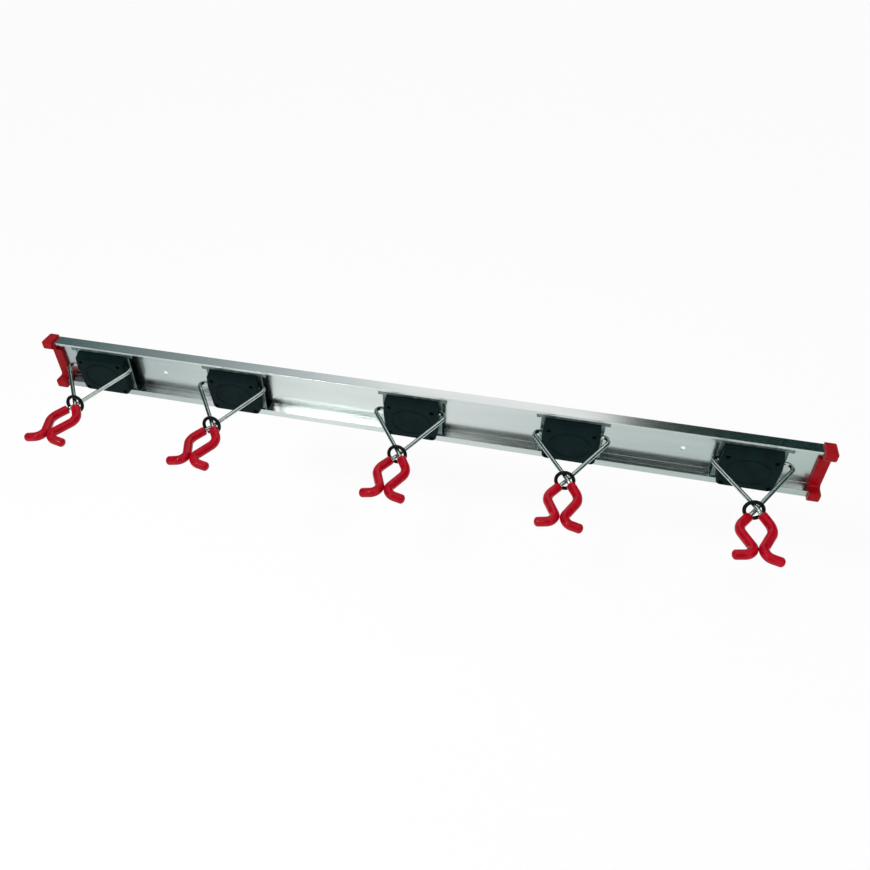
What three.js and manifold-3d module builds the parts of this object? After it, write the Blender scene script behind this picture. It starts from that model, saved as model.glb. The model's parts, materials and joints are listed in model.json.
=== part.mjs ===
// Wall rack for long-handled tools: an aluminium channel with red end caps and five sliding
// holders. Each holder has two crossed wire arms that grip a handle between red sleeves.
// Millimetres. +X runs along the rail, +Y points into the wall, +Z is up. The origin lies on
// the back face of the rail, halfway along it and halfway up.
import * as THREE from "three";
import { mergeVertices } from "three/addons/utils/BufferGeometryUtils.js";
import Module from "manifold-3d";

const wasm = await Module();
wasm.setup();

// Driving dimensions of the rail, an open channel that faces the room.
const RAIL_SPAN = 1000; // over both end caps
const RAIL_HEIGHT = 70;
const RAIL_DEPTH = 16;
const RAIL_WEB = 2;
const RAIL_FLANGE = 1.8;
const RAIL_LIP = 1.8; // thickness of both front lips
const TOP_BEAD = 3; // height of the lip on the top flange, flange included
const BOTTOM_LIP = 8.5; // height of the lip on the bottom flange, flange included
const FOOT_STEP = 0.6; // the web is this much thicker along its foot
const FOOT_STEP_HEIGHT = 9.5;
const WALL_HOLE_RADIUS = 2.6;
const WALL_HOLE_X = 337.5; // from the middle of the rail to each screw hole

// End caps: a hood over each flange, joined by an end wall, with a tongue along the web.
const CAP_WALL = 6;
const CAP_OVERLAP = 8;
const CAP_SKIN = 2.8; // above and below the rail
const CAP_NOSE = 5; // in front of the rail's lips
const CAP_TOP_BLOCK = 12; // height of the upper hood
const CAP_FOOT_BLOCK = 12.5;
const CAP_TONGUE = 6.3; // from the rail's back to the tongue's front
const CAP_TONGUE_GAP = 9; // from the upper hood down to the tongue
const CAP_CORNER = 3;

// Holders, from left to right: two measured from the left end, one from the middle of the rail
// and two from the right end.
const HOLDERS_FROM_LEFT_END = [82, 270];
const MIDDLE_HOLDER_X = 7;
const HOLDERS_FROM_RIGHT_END = [295, 88];

// Slider: a folded steel plate that runs behind the rail's lips.
const SLIDER_SHEET = 1.5;
const SLIDER_TOP_WIDTH = 88;
const SLIDER_TOP_HEIGHT = 7.4;
const SLIDER_WIDTH = 76;
const STUD_RADIUS = 1.5;
const STUD_SPACING_X = 54.2;
const STUD_TOP_Z = 16;
const STUD_BOTTOM_Z = -23.5;
const STUD_RECESS = 3.5; // from the cover's face down to the stud's end

// Housing: a moulded base and cover that clasp the pivots of both arms.
const HOUSING_TOP_WIDTH = 66;
const HOUSING_MIDDLE_WIDTH = 70;
const HOUSING_BOTTOM_WIDTH = 64;
const HOUSING_MIDDLE_Z = 6;
const HOUSING_FACE_TOP = 21; // top edge of the front face
const HOUSING_BOTTOM = -28.5;
const HOUSING_FACE_DEPTH = 25.5; // from the rail's back to the front face
const HOUSING_BACK_TOP = 27; // top edge of the base where it meets the slider
const HOUSING_CORNER = 6;
const HOUSING_EDGE = 1.2; // chamfer round the front face
const COVER_WALL = 2.2;
const CAVITY_TOP = -3; // upper edge of the hollow behind the front face
const STUD_BOSS_RADIUS = 4.2;
const STUD_RECESS_RADIUS = 2.6;

// Arms: steel wire, bent alike on both sides, and the red sleeves on their jaws.
const WIRE_RADIUS = 2.5;
const PIVOT_DEPTH = 19; // from the rail's back to both pivot axes
const PIVOT_HALF_SPAN = 33; // from the holder's middle to where each pivot leaves it
const PIVOT_MEAN_Z = 9.5;
const PIVOT_STAGGER = 5.4; // the left pivot lies this much lower than the right one
const PIVOT_TILT = THREE.MathUtils.degToRad(12); // pivots fall towards the middle
const PIVOT_INSIDE = 26; // length of each pivot inside the housing
const PIVOT_HEAD_RADIUS = 3.6; // upset end that keeps the wire in
const PIVOT_HEAD_LENGTH = 2.5;
const ELBOW_OUT = 16.3; // from the housing's side to the elbow's sharp corner
const ELBOW_BEND = 6;
const CROSSING_REACH = 71; // from the pivots out to where the wires cross
const CROSSING_GAP = 1.4;
const CROSSING_BEND = 40;
const GRIP_START_REACH = 80;
const BULGE_REACH = 100;
const BULGE_BEND = 14;
const PINCH_REACH = 128;
const PINCH_HALF_GAP = 1.9; // from the middle to the pinch bend's sharp corner
const PINCH_BEND = 8;
const TIP_REACH = 140;
const TIP_HALF_GAP = 23;
const GRIP_RADIUS = 5.25;
const TIP_COVER = 3; // the wire stops this far short of the sleeve's round end

// Rubber ring that ties the two wires where they cross.
const RING_OUTER_RADIUS = 12.2;
const RING_SECTION_RADIUS = 2.1;
const RING_LEAN = THREE.MathUtils.degToRad(10); // its front faces down by this much

// Clearances: between flat neighbours, and round the wire where it turns or is gripped.
const SEAT_GAP = 0.3;
const TURN_GAP = 0.3;
const SLEEVE_GAP = 0.2;
const OVERSHOOT = 1; // how far a cutting tool reaches past what it cuts

// Facets of round sections and bends.
const WIRE_SIDES = 6;
const GRIP_SIDES = 8;
const ROD_SIDES = 8;
const BEND_STEP = THREE.MathUtils.degToRad(32);
const RING_STEPS = 14;
const RING_SIDES = 6;
const CORNER_STEPS = 3;

// Values that follow from the sizes above.
const RAIL_TOP = RAIL_HEIGHT / 2;
const CAP_INNER_X = RAIL_SPAN / 2 - CAP_WALL - CAP_OVERLAP;
const RAIL_END_X = RAIL_SPAN / 2 - CAP_WALL - SEAT_GAP;
const SLIDER_FACE = RAIL_DEPTH - RAIL_LIP - SEAT_GAP; // depth of the slider's front
const SLIDER_REACH = RAIL_TOP - RAIL_FLANGE - SEAT_GAP; // half the slider's height
const HOUSING_BACK = SLIDER_FACE + SEAT_GAP;
const RING_RADIUS = RING_OUTER_RADIUS - RING_SECTION_RADIUS;
const HOLDER_X = [
  ...HOLDERS_FROM_LEFT_END.map((distance) => distance - RAIL_SPAN / 2),
  MIDDLE_HOLDER_X,
  ...HOLDERS_FROM_RIGHT_END.map((distance) => RAIL_SPAN / 2 - distance),
];

// Turns a closed geometry into a solid that can be joined and cut.
function solidOf(geometry) {
  const bare = geometry.clone();
  bare.deleteAttribute("normal");
  bare.deleteAttribute("uv");
  const merged = mergeVertices(bare, 1e-4);
  return new wasm.Manifold(
    new wasm.Mesh({
      numProp: 3,
      vertProperties: merged.attributes.position.array,
      triVerts: new Uint32Array(merged.index.array),
    }),
  );
}

// Turns a solid back into a geometry with flat faces.
function geometryOf(solid) {
  const mesh = solid.getMesh();
  const geometry = new THREE.BufferGeometry();
  geometry.setAttribute("position", new THREE.BufferAttribute(mesh.vertProperties, 3));
  geometry.setIndex(new THREE.BufferAttribute(mesh.triVerts, 1));
  const flat = geometry.toNonIndexed();
  flat.computeVertexNormals();
  return flat;
}

const cut = (solid, ...tools) => tools.reduce((left, tool) => left.subtract(tool), solid);
const join = (solid, ...others) => others.reduce((whole, other) => whole.add(other), solid);

// A shape with straight sides and round corners: each point is [x, y] or [x, y, radius].
function roundedShape(points) {
  const shape = new THREE.Shape();
  const corner = (i) => new THREE.Vector2(...points[(i + points.length) % points.length]);
  points.forEach(([, , radius = 0], i) => {
    const here = corner(i);
    const back = corner(i - 1).sub(here).normalize();
    const ahead = corner(i + 1).sub(here).normalize();
    const half = back.angleTo(ahead) / 2;
    const setback = radius / Math.tan(half);
    const start = here.clone().addScaledVector(back, setback);
    const end = here.clone().addScaledVector(ahead, setback);
    if (i === 0) shape.moveTo(start.x, start.y);
    else shape.lineTo(start.x, start.y);
    if (radius === 0) return;
    const middle = back.clone().add(ahead).setLength(radius / Math.sin(half)).add(here);
    const angle = (p) => Math.atan2(p.y - middle.y, p.x - middle.x);
    const clockwise = back.cross(ahead) > 0;
    shape.absarc(middle.x, middle.y, radius, angle(start), angle(end), clockwise);
  });
  shape.closePath();
  return shape;
}

// Extrudes a section drawn in Y and Z from one X to another.
function alongRail(shape, fromX, toX) {
  const settings = { depth: toX - fromX, bevelEnabled: false, curveSegments: CORNER_STEPS };
  const geometry = new THREE.ExtrudeGeometry(shape, settings);
  const axes = new THREE.Matrix4().makeBasis(
    new THREE.Vector3(0, 1, 0),
    new THREE.Vector3(0, 0, 1),
    new THREE.Vector3(1, 0, 0),
  );
  return solidOf(geometry.applyMatrix4(axes).translate(fromX, 0, 0));
}

// Extrudes an outline drawn in X and Z from one depth to a greater one, towards the room.
function towardsRoom(shape, fromDepth, toDepth, edge = 0) {
  const geometry = new THREE.ExtrudeGeometry(shape, {
    depth: toDepth - fromDepth - edge,
    bevelEnabled: edge > 0,
    bevelThickness: edge,
    bevelSize: edge,
    bevelOffset: -edge,
    bevelSegments: 1,
    curveSegments: CORNER_STEPS,
  });
  const axes = new THREE.Matrix4().makeBasis(
    new THREE.Vector3(1, 0, 0),
    new THREE.Vector3(0, 0, 1),
    new THREE.Vector3(0, -1, 0),
  );
  return solidOf(geometry.applyMatrix4(axes).translate(0, -fromDepth, 0));
}

const rectangle = (left, bottom, right, top) =>
  roundedShape([[left, bottom], [right, bottom], [right, top], [left, top]]);

// A block between two corners given as X, depth and Z.
function block(fromX, toX, fromDepth, toDepth, fromZ, toZ) {
  return towardsRoom(rectangle(fromX, fromZ, toX, toZ), fromDepth, toDepth);
}

// A cylinder between two points, with its corners on the radius.
function rod(from, to, radius) {
  const geometry = new THREE.CylinderGeometry(radius, radius, from.distanceTo(to), ROD_SIDES);
  const along = to.clone().sub(from).normalize();
  const turn = new THREE.Quaternion().setFromUnitVectors(new THREE.Vector3(0, 1, 0), along);
  const middle = from.clone().lerp(to, 0.5);
  return solidOf(geometry.applyQuaternion(turn).translate(middle.x, middle.y, middle.z));
}

// A hole between two points, with its flats on the radius, so that a rod of that size turns in it.
const bore = (from, to, radius) => rod(from, to, radius / Math.cos(Math.PI / ROD_SIDES));

const at = (x, depth, z) => new THREE.Vector3(x, -depth, z);

// A path of straight runs joined by round bends, with stations only where the wire bends.
class BentPath extends THREE.Curve {
  constructor(corners) {
    super();
    this.points = [corners[0].place.clone()];
    this.tangents = [];
    for (let i = 1; i < corners.length - 1; i++) this.addBend(corners, i);
    const last = corners.at(-1).place;
    const heading = last.clone().sub(corners.at(-2).place).normalize();
    this.points.push(last.clone());
    this.tangents.push(heading);
    this.tangents.unshift(corners[1].place.clone().sub(corners[0].place).normalize());
  }

  addBend(corners, i) {
    const { place, bend } = corners[i];
    const into = place.clone().sub(corners[i - 1].place).normalize();
    const away = corners[i + 1].place.clone().sub(place).normalize();
    const turn = into.angleTo(away);
    const side = away.clone().addScaledVector(into, -Math.cos(turn)).normalize();
    const start = place.clone().addScaledVector(into, -bend * Math.tan(turn / 2));
    const steps = Math.ceil(turn / BEND_STEP);
    for (let k = 0; k <= steps; k++) {
      const angle = (turn * k) / steps;
      const point = start.clone().addScaledVector(into, bend * Math.sin(angle));
      this.points.push(point.addScaledVector(side, bend * (1 - Math.cos(angle))));
      const heading = into.clone().multiplyScalar(Math.cos(angle));
      this.tangents.push(heading.addScaledVector(side, Math.sin(angle)));
    }
  }

  get steps() {
    return this.points.length - 1;
  }

  getPointAt(u) {
    return this.points[Math.round(u * this.steps)].clone();
  }

  getTangentAt(u) {
    return this.tangents[Math.round(u * this.steps)].clone();
  }
}

// A solid bar of regular section along a path of bends.
function bar(path, radius, sides) {
  const section = new THREE.Shape();
  for (let k = 0; k < sides; k++) {
    const angle = (2 * Math.PI * k) / sides;
    const place = [radius * Math.cos(angle), radius * Math.sin(angle)];
    if (k === 0) section.moveTo(...place);
    else section.lineTo(...place);
  }
  const settings = { steps: path.steps, extrudePath: path };
  return solidOf(new THREE.ExtrudeGeometry(section, settings));
}

// The rail's section in Y and Z, grown all round by a clearance.
function railSection(grow = 0) {
  const back = grow;
  const front = -RAIL_DEPTH - grow;
  const lipBack = -RAIL_DEPTH + RAIL_LIP + grow;
  const web = -RAIL_WEB - grow;
  const foot = web - FOOT_STEP;
  const top = RAIL_TOP + grow;
  const step = -RAIL_TOP + FOOT_STEP_HEIGHT + grow;
  return roundedShape([
    [back, -top],
    [back, top],
    [front, top],
    [front, RAIL_TOP - TOP_BEAD - grow],
    [lipBack, RAIL_TOP - TOP_BEAD - grow],
    [lipBack, RAIL_TOP - RAIL_FLANGE - grow],
    [web, RAIL_TOP - RAIL_FLANGE - grow],
    [web, step],
    [foot, step],
    [foot, -RAIL_TOP + RAIL_FLANGE + grow],
    [lipBack, -RAIL_TOP + RAIL_FLANGE + grow],
    [lipBack, -RAIL_TOP + BOTTOM_LIP + grow],
    [front, -RAIL_TOP + BOTTOM_LIP + grow],
    [front, -top],
  ]);
}

function railSolid() {
  const holes = [-WALL_HOLE_X, WALL_HOLE_X].map((x) =>
    bore(at(x, -OVERSHOOT, 0), at(x, RAIL_WEB + OVERSHOOT, 0), WALL_HOLE_RADIUS),
  );
  return cut(alongRail(railSection(), -RAIL_END_X, RAIL_END_X), ...holes);
}

// One end cap, drawn for the right end.
function capSolid() {
  const top = RAIL_TOP + CAP_SKIN;
  const nose = -RAIL_DEPTH - CAP_NOSE;
  const hoodFloor = top - CAP_TOP_BLOCK;
  const footRoof = -top + CAP_FOOT_BLOCK;
  const outline = roundedShape([
    [0, -top],
    [0, top],
    [nose, top, CAP_CORNER],
    [nose, hoodFloor, CAP_CORNER],
    [-CAP_TONGUE, hoodFloor],
    [-CAP_TONGUE, footRoof, CAP_CORNER],
    [nose, footRoof, CAP_CORNER],
    [nose, -top, CAP_CORNER],
  ]);
  const whole = alongRail(outline, CAP_INNER_X, RAIL_SPAN / 2);
  const socketMouth = CAP_INNER_X - OVERSHOOT;
  const socketEnd = RAIL_SPAN / 2 - CAP_WALL;
  const socket = alongRail(railSection(SEAT_GAP), socketMouth, socketEnd);
  const gap = block(
    socketMouth,
    socketEnd,
    -OVERSHOOT,
    CAP_TONGUE + OVERSHOOT,
    hoodFloor - CAP_TONGUE_GAP,
    hoodFloor,
  );
  return cut(whole, socket, gap);
}

const STUD_PLACES = [-1, 1].flatMap((side) =>
  [STUD_TOP_Z, STUD_BOTTOM_Z].map((z) => ({ x: (side * STUD_SPACING_X) / 2, z })),
);

// The slider's folded sheet with its four pressed-in studs.
function sliderSolid() {
  const backDepth = RAIL_WEB + FOOT_STEP + SEAT_GAP;
  const innerFace = SLIDER_FACE - SLIDER_SHEET;
  const shoulder = SLIDER_REACH - SLIDER_TOP_HEIGHT;
  const half = SLIDER_WIDTH / 2;
  const topHalf = SLIDER_TOP_WIDTH / 2;
  const face = roundedShape([
    [-half, -SLIDER_REACH],
    [half, -SLIDER_REACH],
    [half, shoulder],
    [topHalf, shoulder],
    [topHalf, SLIDER_REACH],
    [-topHalf, SLIDER_REACH],
    [-topHalf, shoulder],
    [-half, shoulder],
  ]);
  const plate = towardsRoom(face, innerFace, SLIDER_FACE);
  const sheetInside = SLIDER_REACH - SLIDER_SHEET;
  const topLeg = block(-topHalf, topHalf, backDepth, SLIDER_FACE, sheetInside, SLIDER_REACH);
  const bottomLeg = block(-half, half, backDepth, SLIDER_FACE, -SLIDER_REACH, -sheetInside);
  const studs = STUD_PLACES.map(({ x, z }) =>
    rod(at(x, innerFace, z), at(x, HOUSING_FACE_DEPTH - STUD_RECESS, z), STUD_RADIUS),
  );
  return join(plate, topLeg, bottomLeg, ...studs);
}

// Where a side's pivot leaves the housing, and the directions that its arm is measured in.
function armFrame(side) {
  const rise = (side * PIVOT_STAGGER) / 2;
  return {
    origin: at(side * PIVOT_HALF_SPAN, PIVOT_DEPTH, PIVOT_MEAN_Z + rise),
    inward: new THREE.Vector3(-side * Math.cos(PIVOT_TILT), 0, -Math.sin(PIVOT_TILT)),
    outward: new THREE.Vector3(0, -1, 0),
    up: new THREE.Vector3(-side * Math.sin(PIVOT_TILT), 0, Math.cos(PIVOT_TILT)),
  };
}

function armPoint(side, inward, reach, up) {
  const frame = armFrame(side);
  return frame.origin
    .clone()
    .addScaledVector(frame.inward, inward)
    .addScaledVector(frame.outward, reach)
    .addScaledVector(frame.up, up);
}

// Distance along the pivot axis that lands on a given place across the holder.
const inwardTo = (acrossMiddle) => (PIVOT_HALF_SPAN + acrossMiddle) / Math.cos(PIVOT_TILT);

// The bends of one arm. The left wire climbs over the right one, and their tips meet level.
function armCorners(side) {
  const climb = -side;
  const crossingLift = climb * (WIRE_RADIUS + (PIVOT_STAGGER + CROSSING_GAP) / 2);
  const tipLift = (climb * PIVOT_STAGGER) / 2;
  const liftAt = (reach) => {
    const share = (reach - CROSSING_REACH) / (TIP_REACH - CROSSING_REACH);
    return crossingLift + (tipLift - crossingLift) * share;
  };
  const slope = (inwardTo(0) + ELBOW_OUT) / CROSSING_REACH;
  const onRun = (reach) => slope * reach - ELBOW_OUT;
  const corner = (inward, reach, up, bend) => ({
    place: armPoint(side, inward, reach, up),
    bend,
  });
  return {
    pivot: corner(PIVOT_INSIDE, 0, 0),
    elbow: corner(-ELBOW_OUT, 0, 0, ELBOW_BEND),
    crossing: corner(inwardTo(0), CROSSING_REACH, crossingLift, CROSSING_BEND),
    gripStart: corner(onRun(GRIP_START_REACH), GRIP_START_REACH, liftAt(GRIP_START_REACH)),
    bulge: corner(onRun(BULGE_REACH), BULGE_REACH, liftAt(BULGE_REACH), BULGE_BEND),
    pinch: corner(inwardTo(PINCH_HALF_GAP), PINCH_REACH, liftAt(PINCH_REACH), PINCH_BEND),
    tip: corner(inwardTo(TIP_HALF_GAP), TIP_REACH, liftAt(TIP_REACH)),
  };
}

// A path's last corner, drawn back by a length towards the corner before it.
function drawnBack(corner, before, length) {
  const back = before.place.clone().sub(corner.place).normalize();
  return { place: corner.place.clone().addScaledVector(back, length) };
}

function armSolid(side) {
  const c = armCorners(side);
  const wireEnd = drawnBack(c.tip, c.pinch, TIP_COVER);
  const path = new BentPath([c.pivot, c.elbow, c.crossing, c.bulge, c.pinch, wireEnd]);
  const headEnd = armPoint(side, PIVOT_INSIDE - PIVOT_HEAD_LENGTH, 0, 0);
  const head = rod(c.pivot.place, headEnd, PIVOT_HEAD_RADIUS);
  return join(bar(path, WIRE_RADIUS, WIRE_SIDES), head);
}

function gripSolid(side) {
  const c = armCorners(side);
  const skin = bar(new BentPath([c.gripStart, c.bulge, c.pinch, c.tip]), GRIP_RADIUS, GRIP_SIDES);
  const dome = new THREE.SphereGeometry(GRIP_RADIUS, GRIP_SIDES, GRIP_SIDES / 2);
  const tip = c.tip.place;
  const heading = tip.clone().sub(c.pinch.place).normalize();
  dome.applyQuaternion(
    new THREE.Quaternion().setFromUnitVectors(new THREE.Vector3(0, 1, 0), heading),
  );
  const roundEnd = solidOf(dome.translate(tip.x, tip.y, tip.z));
  const boreEnd = drawnBack(c.tip, c.pinch, TIP_COVER - SLEEVE_GAP);
  const borePath = new BentPath([c.crossing, c.bulge, c.pinch, boreEnd]);
  const boreRadius = (WIRE_RADIUS + SLEEVE_GAP) / Math.cos(Math.PI / WIRE_SIDES);
  return cut(join(skin, roundEnd), bar(borePath, boreRadius, WIRE_SIDES));
}

// Room for one pivot and its head, cut out of the housing.
function pivotRoom(side) {
  const along = (inward) => armPoint(side, inward, 0, 0);
  const headRoom = PIVOT_INSIDE - PIVOT_HEAD_LENGTH - SEAT_GAP;
  const wireRoom = bore(along(-ELBOW_OUT), along(headRoom + OVERSHOOT), WIRE_RADIUS + TURN_GAP);
  const end = along(PIVOT_INSIDE + SEAT_GAP);
  return join(wireRoom, bore(along(headRoom), end, PIVOT_HEAD_RADIUS + TURN_GAP));
}

// The whole housing as one moulding, before it is parted into base and cover.
function housingBlock() {
  const outline = roundedShape([
    [-HOUSING_BOTTOM_WIDTH / 2, HOUSING_BOTTOM, HOUSING_CORNER],
    [HOUSING_BOTTOM_WIDTH / 2, HOUSING_BOTTOM, HOUSING_CORNER],
    [HOUSING_MIDDLE_WIDTH / 2, HOUSING_MIDDLE_Z],
    [HOUSING_TOP_WIDTH / 2, HOUSING_BACK_TOP],
    [-HOUSING_TOP_WIDTH / 2, HOUSING_BACK_TOP],
    [-HOUSING_MIDDLE_WIDTH / 2, HOUSING_MIDDLE_Z],
  ]);
  const slab = towardsRoom(outline, HOUSING_BACK, HOUSING_FACE_DEPTH, HOUSING_EDGE);
  const sideView = roundedShape([
    [-HOUSING_BACK, HOUSING_BOTTOM - OVERSHOOT],
    [-HOUSING_BACK, HOUSING_BACK_TOP],
    [-HOUSING_FACE_DEPTH, HOUSING_FACE_TOP],
    [-HOUSING_FACE_DEPTH, HOUSING_BOTTOM - OVERSHOOT],
  ]);
  const bevelled = alongRail(sideView, -HOUSING_MIDDLE_WIDTH, HOUSING_MIDDLE_WIDTH);
  return slab.intersect(bevelled);
}

const wideBlock = (fromDepth, toDepth, fromZ, toZ) =>
  block(-HOUSING_MIDDLE_WIDTH, HOUSING_MIDDLE_WIDTH, fromDepth, toDepth, fromZ, toZ);

const studHoles = (fromDepth, toDepth, radius) =>
  STUD_PLACES.map(({ x, z }) => bore(at(x, fromDepth, z), at(x, toDepth, z), radius));

const BIG = 2 * RAIL_HEIGHT;
const STUD_HOLE_RADIUS = STUD_RADIUS + SEAT_GAP;

// The base sits on the slider and stops above the rail's bottom lip.
function baseSolid() {
  const partDepth = PIVOT_DEPTH - SEAT_GAP / 2;
  const lipTop = -RAIL_TOP + BOTTOM_LIP + SEAT_GAP;
  const back = wideBlock(0, partDepth, lipTop, BIG);
  const holes = studHoles(0, HOUSING_FACE_DEPTH, STUD_HOLE_RADIUS);
  return cut(housingBlock().intersect(back), pivotRoom(-1), pivotRoom(1), ...holes);
}

// The cover is hollow below the pivots, with a boss round each lower stud.
function coverSolid() {
  const partDepth = PIVOT_DEPTH + SEAT_GAP / 2;
  const front = housingBlock().intersect(wideBlock(partDepth, BIG, -BIG, BIG));
  const inset = HOUSING_BOTTOM_WIDTH / 2 - COVER_WALL;
  const hollow = block(
    -inset,
    inset,
    PIVOT_DEPTH - OVERSHOOT,
    HOUSING_FACE_DEPTH - COVER_WALL,
    HOUSING_BOTTOM + COVER_WALL,
    CAVITY_TOP,
  );
  const bosses = studHoles(PIVOT_DEPTH - 2 * OVERSHOOT, HOUSING_FACE_DEPTH, STUD_BOSS_RADIUS);
  const holes = studHoles(0, HOUSING_FACE_DEPTH + OVERSHOOT, STUD_HOLE_RADIUS);
  const recessFloor = HOUSING_FACE_DEPTH - STUD_RECESS + SEAT_GAP;
  const recesses = studHoles(recessFloor, HOUSING_FACE_DEPTH + OVERSHOOT, STUD_RECESS_RADIUS);
  const room = [pivotRoom(-1), pivotRoom(1), ...holes, ...recesses];
  return cut(front, cut(hollow, ...bosses), ...room);
}

// The ring hangs on the left wire where the wires cross.
function ringGeometry() {
  const innerFlat = (RING_RADIUS - RING_SECTION_RADIUS) * Math.cos(Math.PI / RING_STEPS);
  const drop = innerFlat - WIRE_RADIUS - SEAT_GAP;
  const { crossing } = armCorners(-1);
  const middle = crossing.place.clone().addScaledVector(armFrame(-1).up, -drop);
  const torus = new THREE.TorusGeometry(RING_RADIUS, RING_SECTION_RADIUS, RING_SIDES, RING_STEPS);
  torus.rotateX(Math.PI / 2 + RING_LEAN);
  return torus.translate(middle.x, middle.y, middle.z);
}

const paint = (color, roughness, metalness) =>
  new THREE.MeshStandardMaterial({ color, roughness, metalness });
const ALUMINIUM = paint(0xc4c8c6, 0.3, 1);
const ZINC = paint(0xb4bcb8, 0.28, 1);
const BLACK_PLASTIC = paint(0x0b1211, 0.5, 0);
const RED_PLASTIC = paint(0xb00614, 0.4, 0);
const RED_SLEEVE = paint(0xb80418, 0.35, 0);
const BLACK_RUBBER = paint(0x070808, 0.6, 0);

function piece(name, geometry, material) {
  const mesh = new THREE.Mesh(geometry, material);
  mesh.name = name;
  return mesh;
}

const rack = new THREE.Group();
rack.add(piece("rail", geometryOf(railSolid()), ALUMINIUM));

const cap = capSolid();
rack.add(piece("right_end_cap", geometryOf(cap), RED_PLASTIC));
rack.add(piece("left_end_cap", geometryOf(cap.mirror([1, 0, 0])), RED_PLASTIC));

const holderPieces = {
  slider: [geometryOf(sliderSolid()), ZINC],
  base: [geometryOf(baseSolid()), BLACK_PLASTIC],
  cover: [geometryOf(coverSolid()), BLACK_PLASTIC],
  left_arm: [geometryOf(armSolid(-1)), ZINC],
  right_arm: [geometryOf(armSolid(1)), ZINC],
  left_arm_sleeve: [geometryOf(gripSolid(-1)), RED_SLEEVE],
  right_arm_sleeve: [geometryOf(gripSolid(1)), RED_SLEEVE],
  ring: [ringGeometry(), BLACK_RUBBER],
};

HOLDER_X.forEach((x, index) => {
  const holder = new THREE.Group();
  holder.position.x = x;
  for (const [part, [geometry, material]] of Object.entries(holderPieces))
    holder.add(piece(`holder_${index + 1}_${part}`, geometry, material));
  rack.add(holder);
});

export default rack;
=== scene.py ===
# Wall rack for long-handled tools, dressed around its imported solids. Sizes are in metres.
import json
import math

import bmesh
import bpy
from mathutils import Matrix, Vector


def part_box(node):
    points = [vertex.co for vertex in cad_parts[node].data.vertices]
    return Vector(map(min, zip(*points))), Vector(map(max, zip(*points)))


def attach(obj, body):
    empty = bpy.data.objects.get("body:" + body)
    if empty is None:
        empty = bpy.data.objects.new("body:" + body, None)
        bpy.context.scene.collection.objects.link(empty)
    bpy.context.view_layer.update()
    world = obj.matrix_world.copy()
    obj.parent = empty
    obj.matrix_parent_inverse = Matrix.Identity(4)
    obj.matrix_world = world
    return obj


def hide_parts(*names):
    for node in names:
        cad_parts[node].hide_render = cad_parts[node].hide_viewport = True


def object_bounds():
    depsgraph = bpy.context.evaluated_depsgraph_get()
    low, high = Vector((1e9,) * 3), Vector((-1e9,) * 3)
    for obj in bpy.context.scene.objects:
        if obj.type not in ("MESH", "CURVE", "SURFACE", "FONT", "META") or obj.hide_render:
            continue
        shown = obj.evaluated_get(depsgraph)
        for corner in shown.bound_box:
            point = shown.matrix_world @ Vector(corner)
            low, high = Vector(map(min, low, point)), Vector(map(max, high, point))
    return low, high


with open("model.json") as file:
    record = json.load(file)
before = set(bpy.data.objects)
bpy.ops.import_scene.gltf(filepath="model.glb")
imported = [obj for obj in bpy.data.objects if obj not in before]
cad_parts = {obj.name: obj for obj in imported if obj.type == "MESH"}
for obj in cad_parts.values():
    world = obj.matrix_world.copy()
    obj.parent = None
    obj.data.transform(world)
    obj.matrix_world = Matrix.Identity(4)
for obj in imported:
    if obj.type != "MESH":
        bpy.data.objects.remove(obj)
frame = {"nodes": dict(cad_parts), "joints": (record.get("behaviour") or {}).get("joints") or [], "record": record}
cad_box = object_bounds()
joints = {joint["name"]: joint for joint in frame["joints"]}
HOLDERS = [name[:-len("_lift")] for name in joints if name.endswith("_lift") and "right" not in name]

# Sizes of the wire arms. They follow the solids, with rounder bends as the photograph shows them.
WIRE_RADIUS = 0.0025
PIVOT_INSIDE = 0.026
ELBOW_OUT = 0.0180
ELBOW_BEND = 0.0075
CROSSING_REACH = 0.071
CROSSING_GAP = 0.0014
CROSSING_BEND = 0.040
GRIP_START_REACH = 0.080
BULGE_REACH = 0.0975
BULGE_BEND = 0.017
PINCH_REACH = 0.1375
PINCH_HALF_GAP = 0.0008
PINCH_BEND = 0.009
TIP_REACH = 0.1385
TIP_HALF_GAP = 0.0225

# Sizes of the red sleeves and the rubber ring.
GRIP_RADIUS = 0.0055
GRIP_MOUTH_ROUND = 0.0007
MOUTH_SHARE = 0.3
DOME_LENGTH = 0.0042
GRIP_BORE_DEPTH = 0.006
SLEEVE_GAP = 0.0002
RING_RADIUS = 0.0101
RING_SECTION = 0.0021
RING_LEAN = math.radians(15)
SEAT_GAP = 0.0005

# Facets of the solid ring, whose inner flats set how far it hangs below the wire.
RING_FACETS = 14

# Plain oval rim on the face of each cover.
OVAL_HALF_WIDTH = 0.0245
OVAL_HALF_HEIGHT = 0.0178
OVAL_MIDDLE_Z = -0.0035
OVAL_RIM_RADIUS = 0.0008

# Softened edges of the pieces made from their solids.
RAIL_EDGE = 0.0003
CAP_EDGE = 0.0006
CAP_END_EDGE = 0.0024
SHEET_EDGE = 0.0004
HOUSING_EDGE = 0.0007
EDGE_SEGMENTS = 3
END_SEGMENTS = 5
ROUND_PROFILE = 0.5
END_REACH = 0.0001
EDGE_ANGLE = math.radians(38)
FLAT_ANGLE = math.radians(0.5)
SHARP_ANGLE = math.radians(32)
WELD_DISTANCE = 0.000005
FLAT_FACE_WEIGHT = 100

# Fineness of the swept meshes.
WIRE_SIDES = 20
GRIP_SIDES = 28
BEND_STEP = math.radians(6)
DOME_STEPS = 7
RING_STEPS = 64
RING_SIDES = 20
OVAL_STEPS = 72
OVAL_SIDES = 8

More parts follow.
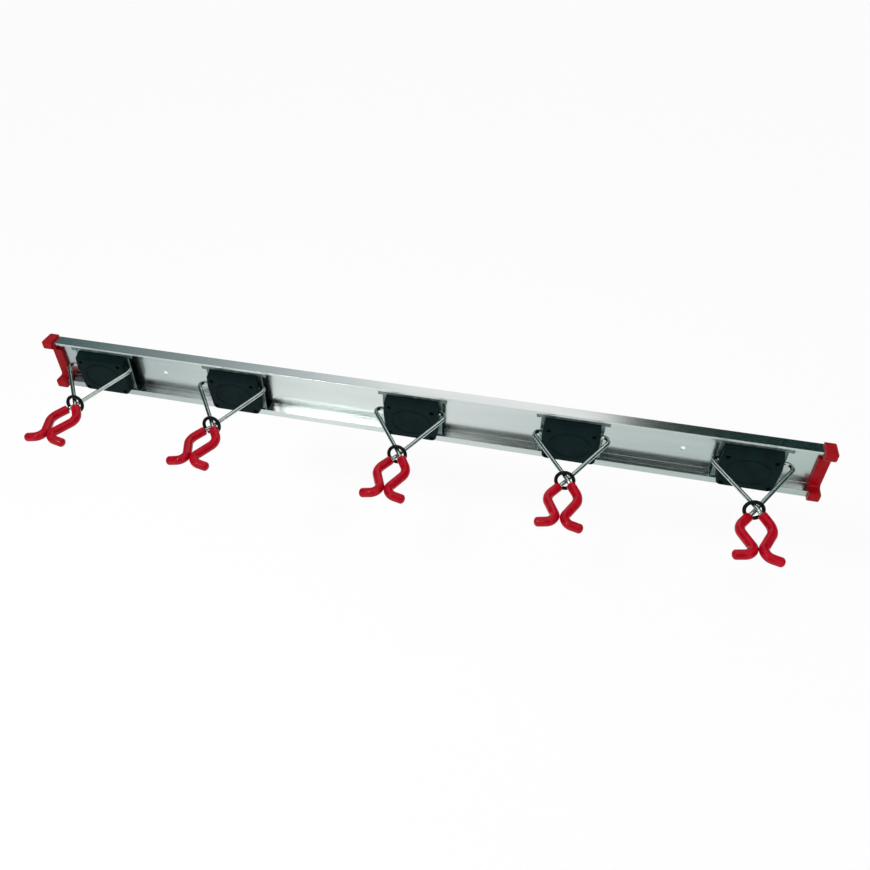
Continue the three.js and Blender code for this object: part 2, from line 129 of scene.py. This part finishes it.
# Camera as fitted to the photograph, and its frame.
CAMERA_PLACE = (0.2051, -0.7496, 0.6277)
CAMERA_TARGET = (0.0326, 0.0, -0.0402)
PHOTO_SIZE = 870
FOCAL_PIXELS = 785.3
SENSOR_WIDTH = 36.0
CLIP_START = 0.01

# Floor, with the share of its tone that glows white for the camera, and the key lamp.
FLOOR_Z = -0.62
FLOOR_SIZE = 14.0
FLOOR_GLOW = 0.5
FLOOR_TONE = (0.93, 0.93, 0.93, 1)
FLOOR_ROUGHNESS = 0.9
KEY_PLACE = (-0.75, -1.3, 1.5)
KEY_TARGET = (0, 0, 0)
KEY_SIZE = 0.22
KEY_POWER = 7.0

# Planes in which the reflection cards stand, their heights from bottom to top, and their greens.
# The side cards stand slightly askew, so that they have a width along X for their tones.
BACK_Y = 1.2
FRONT_Y = -1.5
LOW_Y = -0.25
SIDE_X = 1.7
SIDE_SKEW = 0.001
BACK_HEIGHTS = (0.3, 3.2)
FRONT_HEIGHTS = (0.1, 3.2)
LOW_HEIGHTS = (-0.5, -0.13)
SIDE_HEIGHTS = (-0.6, 2.4)
DARK_GREEN = (0.003, 0.024, 0.020)
DEEP_GREEN = (0.012, 0.080, 0.062)


# Materials

def new_material(name):
    """A node material, with its nodes, its links and its Principled shader."""
    material = bpy.data.materials.new(name)
    material.use_nodes = True
    nodes = material.node_tree.nodes
    return material, nodes, material.node_tree.links, nodes["Principled BSDF"]


def add_noise(nodes, links, scale, stretch=(1, 1, 1), detail=4.0):
    """Noise in object coordinates, stretched along the axes, as a grey output."""
    place = nodes.new("ShaderNodeTexCoord")
    mapping = nodes.new("ShaderNodeMapping")
    mapping.inputs["Scale"].default_value = stretch
    noise = nodes.new("ShaderNodeTexNoise")
    noise.inputs["Scale"].default_value = scale
    noise.inputs["Detail"].default_value = detail
    links.new(place.outputs["Object"], mapping.inputs["Vector"])
    links.new(mapping.outputs["Vector"], noise.inputs["Vector"])
    return noise.outputs["Fac"]


def ramp_between(nodes, links, source, low, high, start=0.35, end=0.65):
    """A colour ramp from low to high, driven by a grey value."""
    ramp = nodes.new("ShaderNodeValToRGB")
    ramp.color_ramp.elements[0].position = start
    ramp.color_ramp.elements[1].position = end
    ramp.color_ramp.elements[0].color = low
    ramp.color_ramp.elements[1].color = high
    links.new(source, ramp.inputs["Fac"])
    return ramp.outputs["Color"]


def grey(value):
    return (value, value, value, 1.0)


def add_bump(nodes, links, shader, source, distance, strength=1.0):
    bump = nodes.new("ShaderNodeBump")
    bump.inputs["Strength"].default_value = strength
    bump.inputs["Distance"].default_value = distance
    links.new(source, bump.inputs["Height"])
    links.new(bump.outputs["Normal"], shader.inputs["Normal"])


def set_tones(nodes, links, shader, source, low, high, smooth, rough):
    """Colour and roughness that follow one grey value between two ends."""
    colour = ramp_between(nodes, links, source, low, high)
    links.new(colour, shader.inputs["Base Color"])
    roughness = ramp_between(nodes, links, source, grey(smooth), grey(rough))
    links.new(roughness, shader.inputs["Roughness"])


def extruded_aluminium():
    """Satin extrusion with fine lines drawn along the rail."""
    material, nodes, links, shader = new_material("extruded_aluminium")
    shader.inputs["Metallic"].default_value = 1.0
    lines = add_noise(nodes, links, scale=60.0, stretch=(0.02, 18.0, 18.0), detail=6.0)
    patches = add_noise(nodes, links, scale=9.0, stretch=(0.4, 3.0, 3.0))
    colour = ramp_between(nodes, links, patches, low=(0.70, 0.74, 0.73, 1), high=(0.78, 0.81, 0.80, 1))
    links.new(colour, shader.inputs["Base Color"])
    roughness = ramp_between(nodes, links, lines, grey(0.16), grey(0.26), start=0.3, end=0.7)
    links.new(roughness, shader.inputs["Roughness"])
    add_bump(nodes, links, shader, lines, distance=0.00001)
    return material


def zinc_steel():
    """Bright zinc plate, lightly mottled."""
    material, nodes, links, shader = new_material("zinc_steel")
    shader.inputs["Metallic"].default_value = 1.0
    mottle = add_noise(nodes, links, scale=260.0)
    set_tones(
        nodes, links, shader, mottle,
        low=(0.40, 0.47, 0.45, 1), high=(0.56, 0.62, 0.60, 1), smooth=0.16, rough=0.27,
    )
    add_bump(nodes, links, shader, mottle, distance=0.00003)
    return material


def shaded_zinc_sheet():
    """Zinc sheet of the sliders, duller than the wires and darker with painted shade."""
    material, nodes, links, shader = new_material("shaded_zinc_sheet")
    shader.inputs["Metallic"].default_value = 1.0
    spangle = add_noise(nodes, links, scale=180.0)
    # Both tones are darker than the wires' zinc as painted shade on the slider sides.
    set_tones(
        nodes, links, shader, spangle,
        low=(0.13, 0.20, 0.19, 1), high=(0.26, 0.34, 0.33, 1), smooth=0.28, rough=0.40,
    )
    add_bump(nodes, links, shader, spangle, distance=0.00003)
    return material


def moulded_black():
    """Black moulded plastic with a fine spark grain and slightly rubbed patches."""
    material, nodes, links, shader = new_material("moulded_black")
    grain = add_noise(nodes, links, scale=2600.0, detail=2.0)
    patches = add_noise(nodes, links, scale=60.0)
    set_tones(
        nodes, links, shader, patches,
        low=(0.0008, 0.007, 0.008, 1), high=(0.002, 0.012, 0.013, 1), smooth=0.42, rough=0.55,
    )
    add_bump(nodes, links, shader, grain, distance=0.00008, strength=0.5)
    shader.inputs["Specular IOR Level"].default_value = 0.08
    return material


def moulded_red():
    """Red moulded plastic of the end caps."""
    material, nodes, links, shader = new_material("moulded_red")
    patches = add_noise(nodes, links, scale=70.0)
    grain = add_noise(nodes, links, scale=1800.0, detail=2.0)
    set_tones(
        nodes, links, shader, patches,
        low=(0.25, 0.0004, 0.004, 1), high=(0.32, 0.0008, 0.006, 1), smooth=0.30, rough=0.42,
    )
    add_bump(nodes, links, shader, grain, distance=0.00005, strength=0.4)
    shader.inputs["Specular IOR Level"].default_value = 0.12
    return material


def red_vinyl():
    """Glossy dipped vinyl of the sleeves, with slow waves in its skin."""
    material, nodes, links, shader = new_material("red_vinyl")
    waves = add_noise(nodes, links, scale=120.0, detail=2.0)
    set_tones(
        nodes, links, shader, waves,
        low=(0.32, 0.0004, 0.008, 1), high=(0.40, 0.0008, 0.012, 1), smooth=0.13, rough=0.22,
    )
    add_bump(nodes, links, shader, waves, distance=0.00012, strength=0.5)
    shader.inputs["Specular IOR Level"].default_value = 0.16
    return material


def black_rubber():
    """Dull black rubber of the rings."""
    material, nodes, links, shader = new_material("black_rubber")
    bloom = add_noise(nodes, links, scale=300.0)
    set_tones(
        nodes, links, shader, bloom,
        low=(0.002, 0.003, 0.003, 1), high=(0.007, 0.008, 0.008, 1), smooth=0.48, rough=0.66,
    )
    add_bump(nodes, links, shader, bloom, distance=0.00006)
    shader.inputs["Specular IOR Level"].default_value = 0.12
    return material


MATERIALS = {
    "rail_aluminium": extruded_aluminium(),
    "zinc_steel": zinc_steel(),
    "housing_plastic": moulded_black(),
    "red_plastic": moulded_red(),
    "red_sleeve": red_vinyl(),
    "black_rubber": black_rubber(),
}
# The sliders' zinc, darkened as painted shade.
SLIDER_SHADED_ZINC = shaded_zinc_sheet()


# Moulded, folded and extruded pieces, made from their solids with softened edges

def new_piece(name, mesh, body, slot, *nodes):
    """A piece of the object that rides on a body, has a slot's finish and stands for some nodes."""
    obj = bpy.data.objects.new(name, mesh)
    bpy.context.collection.objects.link(obj)
    mesh.materials.clear()
    mesh.materials.append(MATERIALS[slot])
    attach(obj, body)
    if nodes:
        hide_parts(*nodes)
    return obj


def round_end_face(bm, end_x, width):
    """Round the rim of the face that closes a solid at one end of the rail."""
    rim = [e for e in bm.edges if e.is_manifold and all(abs(v.co.x - end_x) < END_REACH for v in e.verts)]
    bmesh.ops.bevel(bm, geom=rim, offset=width, segments=END_SEGMENTS, profile=ROUND_PROFILE,
                    affect="EDGES", clamp_overlap=True)


def softened_mesh(node, width, end_x=None):
    """A copy of a solid's mesh with its sharp edges rounded, and more so round an end face at end_x."""
    bm = bmesh.new()
    bm.from_mesh(frame["nodes"][node].data)
    bmesh.ops.remove_doubles(bm, verts=bm.verts, dist=WELD_DISTANCE)
    bmesh.ops.dissolve_limit(bm, angle_limit=FLAT_ANGLE, verts=bm.verts, edges=bm.edges)
    if end_x is not None:
        round_end_face(bm, end_x, CAP_END_EDGE)
    sharp = [e for e in bm.edges if e.is_manifold and e.calc_face_angle(0) > EDGE_ANGLE]
    bmesh.ops.bevel(bm, geom=sharp, offset=width, segments=EDGE_SEGMENTS, profile=ROUND_PROFILE,
                    affect="EDGES", clamp_overlap=True)
    bmesh.ops.recalc_face_normals(bm, faces=bm.faces)
    mesh = bpy.data.meshes.new(f"{node}_skin")
    bm.to_mesh(mesh)
    bm.free()
    mesh.shade_smooth()
    mesh.set_sharp_from_angle(angle=SHARP_ANGLE)
    return mesh


def soften(node, body, width, end_x=None):
    """A softened piece whose flat faces stay flat in the light, right up to their rounded edges."""
    slot = next(s["material_slot"] for s in frame["record"]["subparts"] if s["node"] == node)
    piece = new_piece(f"{node}_skin", softened_mesh(node, width, end_x), body, slot, node)
    flat_faces = piece.modifiers.new("flat_faces", "WEIGHTED_NORMAL")
    flat_faces.keep_sharp = True
    flat_faces.weight = FLAT_FACE_WEIGHT
    return piece


soften("rail", "wall_rail", RAIL_EDGE)
soften("left_end_cap", "wall_rail", CAP_EDGE, cad_box[0][0])
soften("right_end_cap", "wall_rail", CAP_EDGE, cad_box[1][0])
for holder in HOLDERS:
    slider = soften(f"{holder}_slider", holder, SHEET_EDGE)
    # The sliders take the zinc that is darkened as painted shade.
    slider.data.materials[0] = SLIDER_SHADED_ZINC
    soften(f"{holder}_base", holder, HOUSING_EDGE)
    soften(f"{holder}_cover", holder, HOUSING_EDGE)


# Swept tubes

def bent_path(corners):
    """Points and headings along straight runs joined by round bends: corners are (point, bend radius)."""
    places = [place for place, _ in corners]
    stations = [(places[0], (places[1] - places[0]).normalized())]
    for i in range(1, len(corners) - 1):
        place, bend = corners[i]
        into = (place - places[i - 1]).normalized()
        away = (places[i + 1] - place).normalized()
        turn = into.angle(away)
        side = (away - into * math.cos(turn)).normalized()
        start = place - into * (bend * math.tan(turn / 2))
        steps = max(2, math.ceil(turn / BEND_STEP))
        for k in range(steps + 1):
            angle = turn * k / steps
            point = start + into * (bend * math.sin(angle)) + side * (bend * (1 - math.cos(angle)))
            stations.append((point, into * math.cos(angle) + side * math.sin(angle)))
    stations.append((places[-1], (places[-1] - places[-2]).normalized()))
    return stations


def sweep_mesh(name, rings, sides):
    """A closed tube through rings of (middle, heading, radius), with flat ends."""
    bm = bmesh.new()
    heading = rings[0][1]
    normal = heading.orthogonal().normalized()
    loops = []
    for middle, ahead, radius in rings:
        normal.rotate(heading.rotation_difference(ahead))
        heading = ahead
        other = heading.cross(normal)
        loop = []
        for k in range(sides):
            angle = 2 * math.pi * k / sides
            loop.append(bm.verts.new(middle + (normal * math.cos(angle) + other * math.sin(angle)) * radius))
        loops.append(loop)
    for first, second in zip(loops, loops[1:]):
        for k in range(sides):
            after = (k + 1) % sides
            bm.faces.new((first[k], first[after], second[after], second[k])).smooth = True
    bm.faces.new(list(reversed(loops[0])))
    bm.faces.new(loops[-1])
    mesh = bpy.data.meshes.new(name)
    bm.to_mesh(mesh)
    bm.free()
    return mesh


# Arms, sleeves and rings

class Arm:
    """One arm of a holder, measured from its pivot as the solids are."""

    def __init__(self, holder, side):
        self.side = side
        pivots = [joints[f"{holder}_lift"], joints[f"{holder}_right_lift"]]
        pivot = pivots[0 if side < 0 else 1]
        self.origin = Vector(pivot["pos_m"])
        axis = Vector(pivot["axis"]).normalized()
        self.inward = axis * side
        self.outward = Vector((0, -1, 0))
        self.up = Vector((-side * abs(axis.z), 0, abs(axis.x)))
        self.half_span = abs(pivots[1]["pos_m"][0] - pivots[0]["pos_m"][0]) / 2
        self.stagger = pivots[1]["pos_m"][2] - pivots[0]["pos_m"][2]
        self.tilt_cos = abs(axis.x)

    def point(self, inward, reach, up):
        return self.origin + self.inward * inward + self.outward * reach + self.up * up

    def inward_to(self, across):
        return (self.half_span + across) / self.tilt_cos

    def corners(self):
        climb = -self.side
        crossing_lift = climb * (WIRE_RADIUS + (self.stagger + CROSSING_GAP) / 2)
        tip_lift = climb * self.stagger / 2
        slope = (self.inward_to(0) + ELBOW_OUT) / CROSSING_REACH

        def lift_at(reach):
            share = (reach - CROSSING_REACH) / (TIP_REACH - CROSSING_REACH)
            return crossing_lift + (tip_lift - crossing_lift) * share

        def on_run(reach):
            return slope * reach - ELBOW_OUT

        def jaw(inward, reach):
            return self.point(inward, reach, lift_at(reach))

        return {
            "pivot": self.point(PIVOT_INSIDE, 0, 0),
            "elbow": self.point(-ELBOW_OUT, 0, 0),
            "crossing": self.point(self.inward_to(0), CROSSING_REACH, crossing_lift),
            "grip_start": jaw(on_run(GRIP_START_REACH), GRIP_START_REACH),
            "bulge": jaw(on_run(BULGE_REACH), BULGE_REACH),
            "pinch": jaw(self.inward_to(PINCH_HALF_GAP), PINCH_REACH),
            "tip": jaw(self.inward_to(TIP_HALF_GAP), TIP_REACH),
        }


def wire_mesh(name, corners):
    """The wire from inside the housing to just inside its sleeve."""
    run = (corners["bulge"] - corners["grip_start"]).normalized()
    inside = corners["grip_start"] + run * (GRIP_BORE_DEPTH - SLEEVE_GAP)
    path = bent_path([
        (corners["pivot"], 0),
        (corners["elbow"], ELBOW_BEND),
        (corners["crossing"], CROSSING_BEND),
        (inside, 0),
    ])
    return sweep_mesh(name, [(place, ahead, WIRE_RADIUS) for place, ahead in path], WIRE_SIDES)


def sleeve_mesh(name, corners):
    """A dipped sleeve with a round end, a softened mouth and the bore that the wire goes into."""
    path = bent_path([
        (corners["grip_start"], 0),
        (corners["bulge"], BULGE_BEND),
        (corners["pinch"], PINCH_BEND),
        (corners["tip"], 0),
    ])
    mouth, first = path[0]
    bore = WIRE_RADIUS + SLEEVE_GAP
    mouth_step = GRIP_MOUTH_ROUND * MOUTH_SHARE
    rings = [
        (mouth + first * GRIP_BORE_DEPTH, first, bore),
        (mouth + first * GRIP_MOUTH_ROUND, first, bore),
        (mouth, first, bore + GRIP_MOUTH_ROUND),
        (mouth, first, GRIP_RADIUS - GRIP_MOUTH_ROUND),
        (mouth + first * mouth_step, first, GRIP_RADIUS - mouth_step),
        (mouth + first * GRIP_MOUTH_ROUND, first, GRIP_RADIUS),
    ]
    rings += [(place, ahead, GRIP_RADIUS) for place, ahead in path[1:]]
    tip, last = path[-1]
    for k in range(1, DOME_STEPS):
        angle = math.pi / 2 * k / DOME_STEPS
        rings.append((tip + last * (DOME_LENGTH * math.sin(angle)), last, GRIP_RADIUS * math.cos(angle)))
    return sweep_mesh(name, rings, GRIP_SIDES)


def closed_tube_mesh(name, loops):
    """A tube that closes on itself through loops of points."""
    bm = bmesh.new()
    rows = [[bm.verts.new(point) for point in loop] for loop in loops]
    for first, second in zip(rows, rows[1:] + rows[:1]):
        for k in range(len(first)):
            after = (k + 1) % len(first)
            bm.faces.new((first[k], second[k], second[after], first[after])).smooth = True
    bmesh.ops.recalc_face_normals(bm, faces=bm.faces)
    mesh = bpy.data.meshes.new(name)
    bm.to_mesh(mesh)
    bm.free()
    return mesh


def section_loop(middle, out, axis, radius, sides):
    """Points round a tube's section, in the plane of two directions."""
    angles = [2 * math.pi * k / sides for k in range(sides)]
    return [middle + out * (radius * math.cos(angle)) + axis * (radius * math.sin(angle)) for angle in angles]


def ring_mesh(name, arm, corners):
    """The rubber ring, hung on the left wire where the two wires cross."""
    inner_flat = (RING_RADIUS - RING_SECTION) * math.cos(math.pi / RING_FACETS)
    drop = inner_flat - WIRE_RADIUS - SEAT_GAP
    middle = corners["crossing"] - arm.up * drop
    turn = Matrix.Rotation(math.pi / 2 - RING_LEAN, 3, "X")
    axis = turn @ Vector((0, 0, 1))
    loops = []
    for i in range(RING_STEPS):
        angle = 2 * math.pi * i / RING_STEPS
        out = turn @ Vector((math.cos(angle), math.sin(angle), 0))
        loops.append(section_loop(middle + out * RING_RADIUS, out, axis, RING_SECTION, RING_SIDES))
    return closed_tube_mesh(name, loops)


def oval_rim_mesh(name, centre_x, face_y):
    """A thin raised oval on the cover's face."""
    axis = Vector((0, 1, 0))
    loops = []
    for i in range(OVAL_STEPS):
        angle = 2 * math.pi * i / OVAL_STEPS
        middle = Vector((
            centre_x + OVAL_HALF_WIDTH * math.cos(angle),
            face_y,
            OVAL_MIDDLE_Z + OVAL_HALF_HEIGHT * math.sin(angle),
        ))
        out = Vector((OVAL_HALF_HEIGHT * math.cos(angle), 0, OVAL_HALF_WIDTH * math.sin(angle))).normalized()
        loops.append(section_loop(middle, out, axis, OVAL_RIM_RADIUS, OVAL_SIDES))
    return closed_tube_mesh(name, loops)


for holder in HOLDERS:
    for side, label in ((-1, "left"), (1, "right")):
        arm = Arm(holder, side)
        corners = arm.corners()
        body = f"{holder}_{label}_jaw"
        node = f"{holder}_{label}_arm"
        new_piece(f"{node}_wire", wire_mesh(f"{node}_wire", corners), body, "zinc_steel", node)
        sleeve = f"{node}_sleeve"
        new_piece(f"{sleeve}_skin", sleeve_mesh(f"{sleeve}_skin", corners), body, "red_sleeve", sleeve)
    left = Arm(holder, -1)
    band = f"{holder}_ring"
    new_piece(f"{band}_band", ring_mesh(f"{band}_band", left, left.corners()), band, "black_rubber", band)
    low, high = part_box(f"{holder}_cover")
    rim = f"{holder}_oval_rim"
    new_piece(rim, oval_rim_mesh(rim, (low[0] + high[0]) / 2, low[1]), holder, "housing_plastic")


# Stage, light and camera

def pale_floor():
    """A pale floor that also glows white where the camera sees it."""
    material, nodes, links, shader = new_material("pale_floor")
    shader.inputs["Base Color"].default_value = FLOOR_TONE
    shader.inputs["Roughness"].default_value = FLOOR_ROUGHNESS
    path = nodes.new("ShaderNodeLightPath")
    share = nodes.new("ShaderNodeMath")
    share.operation = "MULTIPLY"
    share.inputs[1].default_value = FLOOR_GLOW
    glow = nodes.new("ShaderNodeEmission")
    glow.inputs["Strength"].default_value = 1.0
    mix = nodes.new("ShaderNodeMixShader")
    links.new(path.outputs["Is Camera Ray"], share.inputs[0])
    links.new(share.outputs["Value"], mix.inputs["Fac"])
    links.new(shader.outputs["BSDF"], mix.inputs[1])
    links.new(glow.outputs["Emission"], mix.inputs[2])
    links.new(mix.outputs["Shader"], nodes["Material Output"].inputs["Surface"])
    return material


def flat_card(name, corner_points, material):
    mesh = bpy.data.meshes.new(name)
    mesh.from_pydata(corner_points, [], [(0, 1, 2, 3)])
    card = bpy.data.objects.new(name, mesh)
    bpy.context.collection.objects.link(card)
    mesh.materials.append(material)
    return card


half = FLOOR_SIZE / 2
flat_card(
    "floor",
    [(-half, -half, FLOOR_Z), (half, -half, FLOOR_Z), (half, half, FLOOR_Z), (-half, half, FLOOR_Z)],
    pale_floor(),
)


def card_material(name, tones):
    """A glow that changes along a card: tones are (share of the card's width, colour)."""
    material, nodes, links, _ = new_material(name)
    place = nodes.new("ShaderNodeTexCoord")
    split = nodes.new("ShaderNodeSeparateXYZ")
    ramp = nodes.new("ShaderNodeValToRGB")
    stops = ramp.color_ramp.elements
    while len(stops) < len(tones):
        stops.new(0.5)
    for stop, (share, tone) in zip(stops, tones):
        stop.position = share
        stop.color = (*tone, 1)
    glow = nodes.new("ShaderNodeEmission")
    links.new(place.outputs["Generated"], split.inputs["Vector"])
    links.new(split.outputs["X"], ramp.inputs["Fac"])
    links.new(ramp.outputs["Color"], glow.inputs["Color"])
    links.new(glow.outputs["Emission"], nodes["Material Output"].inputs["Surface"])
    return material


def studio_card(name, start, end, heights, tones):
    """An upright card beside the set that only reflections see, from a start to an end in plan."""
    bottom, top = heights
    corner_points = [(*start, bottom), (*end, bottom), (*end, top), (*start, top)]
    card = flat_card(name, corner_points, card_material(name, tones))
    card.visible_camera = False
    card.visible_diffuse = False
    card.visible_shadow = False
    card.visible_transmission = False


def even(tone):
    return [(0, tone), (1, tone)]


BACK_LEFT_TONES = [
    (0, DARK_GREEN),
    (0.60, (0.05, 0.11, 0.11)),
    (0.68, (0.18, 0.23, 0.23)),
    (0.80, (0.30, 0.36, 0.37)),
    (1, (0.85, 0.87, 0.89)),
]
LOW_FRONT_TONES = [
    (0, (0.40, 0.44, 0.45)),
    (0.21, (0.54, 0.60, 0.61)),
    (0.40, (0.92, 0.97, 0.94)),
    (0.57, (0.76, 0.80, 0.80)),
    (0.71, (0.58, 0.65, 0.64)),
    (1, (0.42, 0.52, 0.48)),
]
studio_card("back_right_card", (0.345, BACK_Y), (3.4, BACK_Y), BACK_HEIGHTS, even(DARK_GREEN))
studio_card("back_left_card", (-3.4, BACK_Y), (-0.4, BACK_Y), BACK_HEIGHTS, BACK_LEFT_TONES)
studio_card("camera_card", (-0.20, FRONT_Y), (0.95, FRONT_Y), FRONT_HEIGHTS, even(DARK_GREEN))
studio_card("front_left_card", (-2.4, FRONT_Y), (-1.3, FRONT_Y), FRONT_HEIGHTS, even(DARK_GREEN))
studio_card("low_front_card", (-0.9, LOW_Y), (0.8, LOW_Y), LOW_HEIGHTS, LOW_FRONT_TONES)
for name, side_x in (("left_card", -SIDE_X), ("right_card", SIDE_X)):
    studio_card(name, (side_x, -1.1), (side_x + SIDE_SKEW, 1.0), SIDE_HEIGHTS, even(DEEP_GREEN))

world = bpy.data.worlds.new("studio")
bpy.context.scene.world = world
world.use_nodes = True
background = world.node_tree.nodes["Background"]
background.inputs["Color"].default_value = (1, 1, 1, 1)
background.inputs["Strength"].default_value = 1.0


def soft_lamp(name, place, target, size, power):
    data = bpy.data.lights.new(name, "AREA")
    data.shape = "SQUARE"
    data.size = size
    data.energy = power
    lamp = bpy.data.objects.new(name, data)
    bpy.context.collection.objects.link(lamp)
    lamp.location = place
    lamp.rotation_euler = (Vector(target) - Vector(place)).to_track_quat("-Z", "Y").to_euler()


soft_lamp("key_lamp", KEY_PLACE, KEY_TARGET, KEY_SIZE, KEY_POWER)

camera_data = bpy.data.cameras.new("photo_camera")
camera_data.sensor_fit = "HORIZONTAL"
camera_data.sensor_width = SENSOR_WIDTH
camera_data.lens = FOCAL_PIXELS / PHOTO_SIZE * SENSOR_WIDTH
camera_data.clip_start = CLIP_START
camera = bpy.data.objects.new("photo_camera", camera_data)
bpy.context.collection.objects.link(camera)
camera.location = CAMERA_PLACE
look = Vector(CAMERA_TARGET) - Vector(CAMERA_PLACE)
camera.rotation_euler = look.to_track_quat("-Z", "Y").to_euler()
bpy.context.scene.camera = camera
bpy.context.scene.view_settings.view_transform = "Standard"
